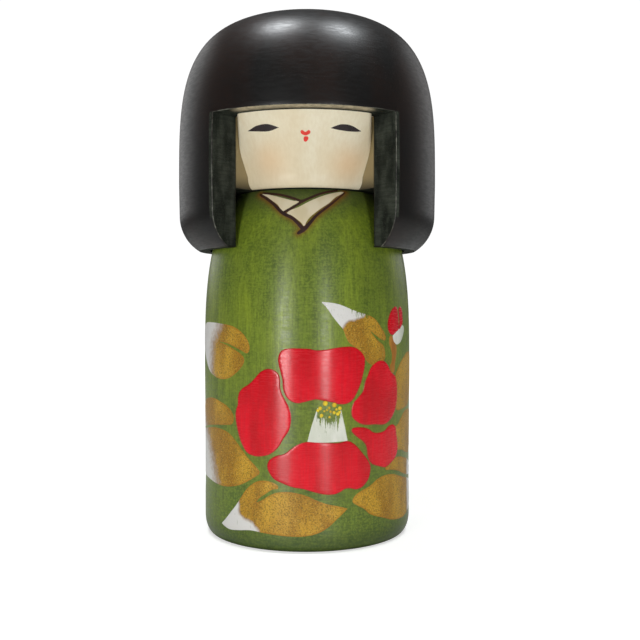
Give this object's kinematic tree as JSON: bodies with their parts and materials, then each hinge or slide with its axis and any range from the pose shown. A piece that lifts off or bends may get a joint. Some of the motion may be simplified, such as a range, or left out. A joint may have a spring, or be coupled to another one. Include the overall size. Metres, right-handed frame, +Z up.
{
  "type": "kokeshi doll",
  "caption": "Lathe-turned wooden kokeshi doll with a domed bobbed-hair head, a sawn face window and a painted barrel body; the head turns on a peg.",
  "frame": {"origin": "centre of the flat face that the doll stands on", "axes": "+Z up along the lathe axis; -Y is the way the face looks; +X to the right seen from the front"},
  "size_m": [0.081, 0.0807, 0.16],
  "materials": {
    "body_wood": "green dyed turned wood under clear satin lacquer",
    "hair_wood": "black dyed turned wood, satin",
    "face_wood": "pale turned wood, matte wax",
    "peg_wood": "bare dowel wood",
    "petal_paint": "crimson lacquer paint, satin",
    "leaf_paint": "speckled gold-ochre paint with white brushed tips",
    "white_paint": "white brushed paint",
    "pollen_paint": "yellow paint dots",
    "collar_paint": "cream paint",
    "burnt_line": "burnt-in line, matte",
    "eye_ink": "dark brown ink",
    "lip_ink": "red ink"
  },
  "bodies": {
    "base": {"body": "body_wood", "neck_peg": "peg_wood"},
    "head": {"face_block": "face_wood", "hair_cap": "hair_wood"}
  },
  "joints": [
    {"name": "head_turn", "type": "hinge", "parent": "base", "child": "head", "pos_m": [0, 0, 0.105], "axis": [0, 0, 1], "continuous": true}
  ]
}
